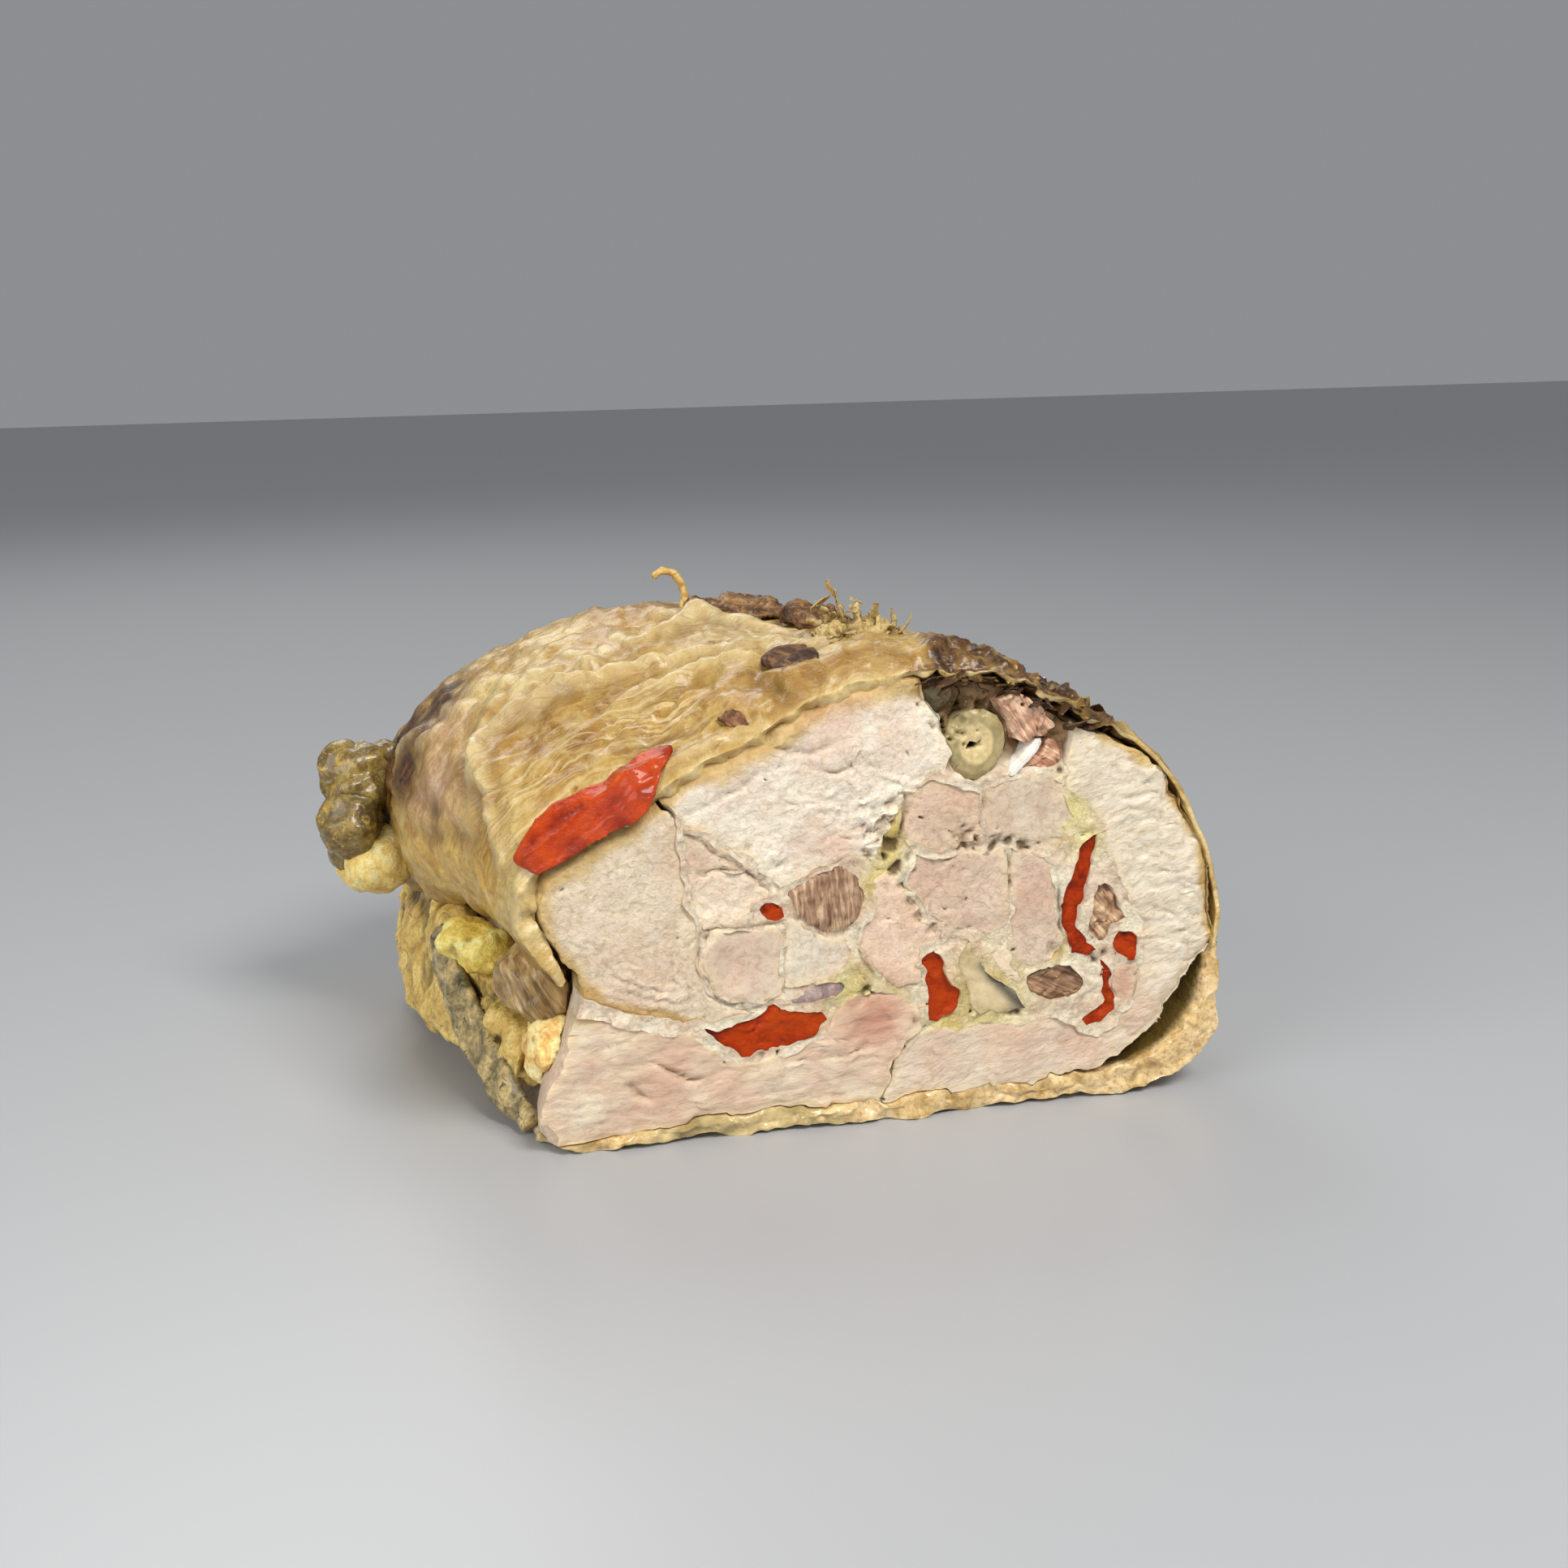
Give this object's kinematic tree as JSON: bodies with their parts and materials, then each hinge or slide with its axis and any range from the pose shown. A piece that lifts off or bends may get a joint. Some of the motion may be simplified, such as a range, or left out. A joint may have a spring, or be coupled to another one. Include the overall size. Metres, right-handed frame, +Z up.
{
  "type": "chicken and beef tongue roll",
  "caption": "Cooked chicken and beef tongue roll cut through: breast and thigh round a filling of meat chunks, tongue, red pepper and olive, under loose yellow skin.",
  "frame": {"origin": "on the table under the middle of the bounding box", "axes": "+Z up, +X along the cut face to its right as seen from the front, +Y from the cut face to the closed end"},
  "size_m": [0.1812, 0.1422, 0.1075],
  "materials": {
    "skin": "wet, wrinkled cooked skin, browned in places",
    "under_skin": "wet skin with clear jelly",
    "grey_skin": "wet grey skin",
    "white_meat": "moist, finely crumbled cut",
    "dark_meat": "moist, smooth cut",
    "binding": "moist, crumbly jelly and fat",
    "grey_jelly": "clear grey jelly",
    "tendon": "shiny white",
    "tongue": "fibrous, moist",
    "side_meat": "moist, stringy",
    "fat": "soft yellow fat",
    "crisp": "dry ragged shreds",
    "pepper": "glossy wet red",
    "olive": "smooth, slightly glossy"
  },
  "bodies": {
    "root": {"skin": "skin", "skin_curl": "skin", "under_skin": "under_skin", "grey_skin": "grey_skin", "left_breast": "white_meat", "top_breast": "white_meat", "right_breast": "white_meat", "white_fillet": "white_meat", "white_middle": "white_meat", "white_wedge": "white_meat", "thigh_layer": "dark_meat", "thigh_round": "dark_meat", "pale_middle": "dark_meat", "pink_corner": "dark_meat", "pink_low": "dark_meat", "ham_chunk_upper": "dark_meat", "ham_chunk_lower": "dark_meat", "pale_chunk_upper": "dark_meat", "pale_chunk_lower": "dark_meat", "grey_vein": "grey_jelly", "binding": "binding", "tendon": "tendon", "tongue_chunk": "tongue", "tongue_low": "tongue", "tongue_right": "tongue", "tongue_shred": "tongue", "tongue_strip": "tongue", "tongue_patch": "tongue", "tongue_patch_small": "tongue", "tongue_top": "tongue", "tongue_top_small": "tongue", "side_tongue": "tongue", "side_chunk": "side_meat", "side_meat": "side_meat", "end_lump": "side_meat", "side_fat": "fat", "end_fat": "fat", "crisp_shreds": "crisp", "pepper_outside": "pepper", "pepper_small": "pepper", "pepper_low": "pepper", "pepper_middle": "pepper", "pepper_long": "pepper", "pepper_hook": "pepper", "pepper_dot": "pepper", "olive_ring": "olive", "olive_behind": "olive", "olive_wedge": "olive"}
  },
  "joints": []
}
